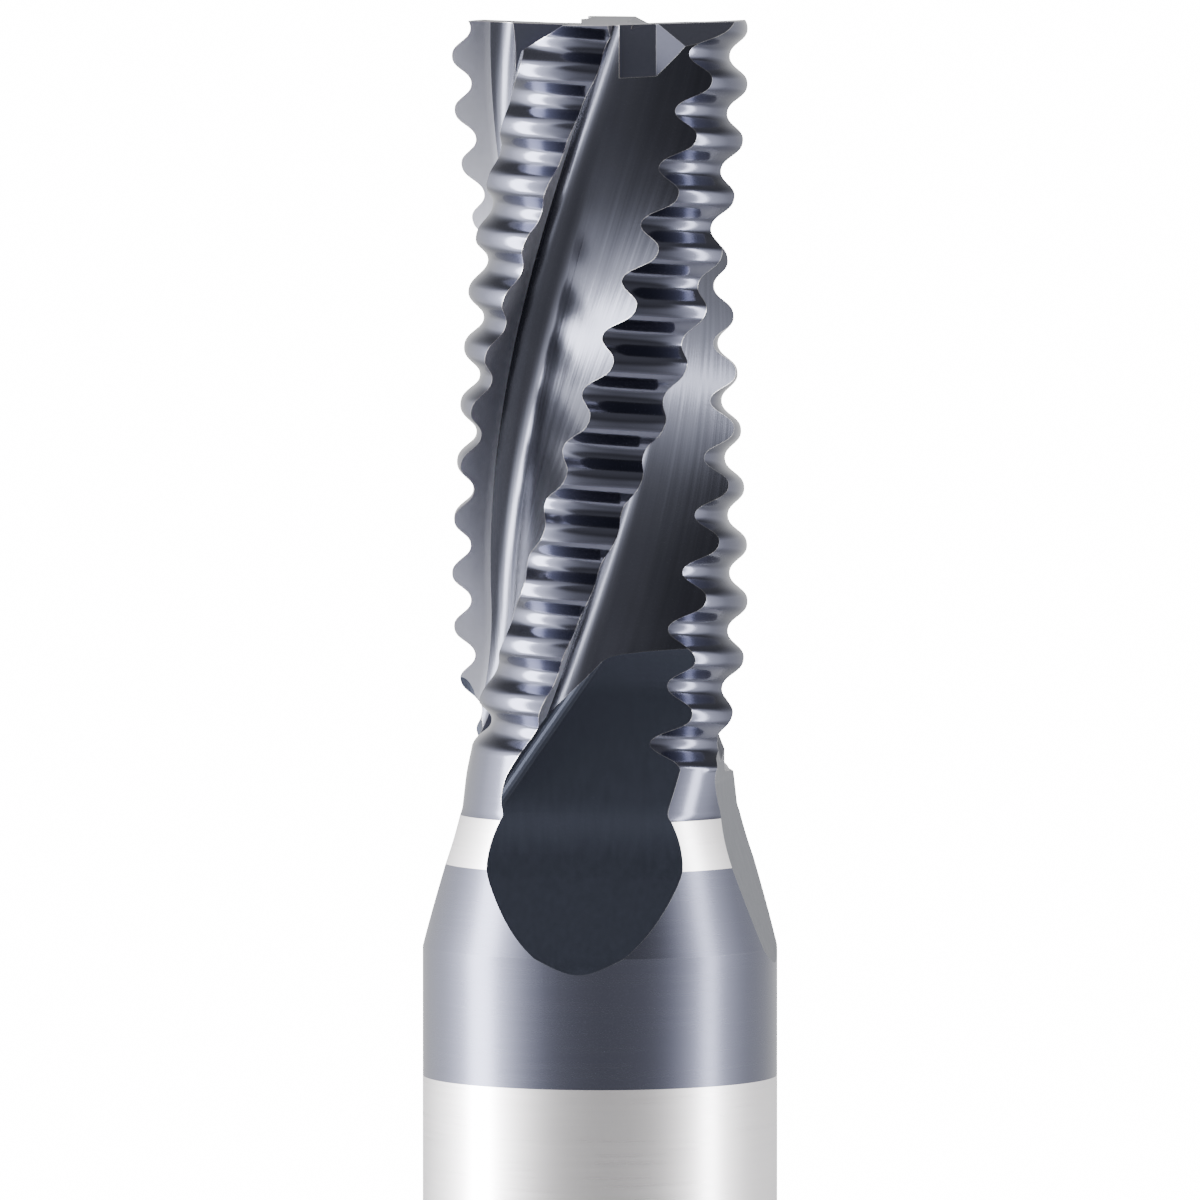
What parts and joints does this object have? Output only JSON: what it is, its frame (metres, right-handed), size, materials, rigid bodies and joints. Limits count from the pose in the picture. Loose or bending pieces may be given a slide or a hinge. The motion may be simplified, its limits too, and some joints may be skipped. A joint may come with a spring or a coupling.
{
  "type": "roughing end mill",
  "caption": "Solid carbide roughing end mill: dark coated helical flutes with rounded knuckle ridges, a short neck and a plain round shank to grip.",
  "frame": {"origin": "centre of the shank's end face, on the tool's axis", "axes": "+Z along the tool's axis from the shank's end to the cutting tip; in use the tool turns counterclockwise about +Z as seen from its tip, and the viewer of the picture stands on the -Y side"},
  "size_m": [0.006, 0.006, 0.05],
  "materials": {
    "coated_carbide": "dark violet-grey hard coating over fine grinding marks; bare, light and finely ground below the coating and in a band under the neck"
  },
  "bodies": {
    "root": {"roughing_end_mill": "coated_carbide"}
  },
  "joints": []
}
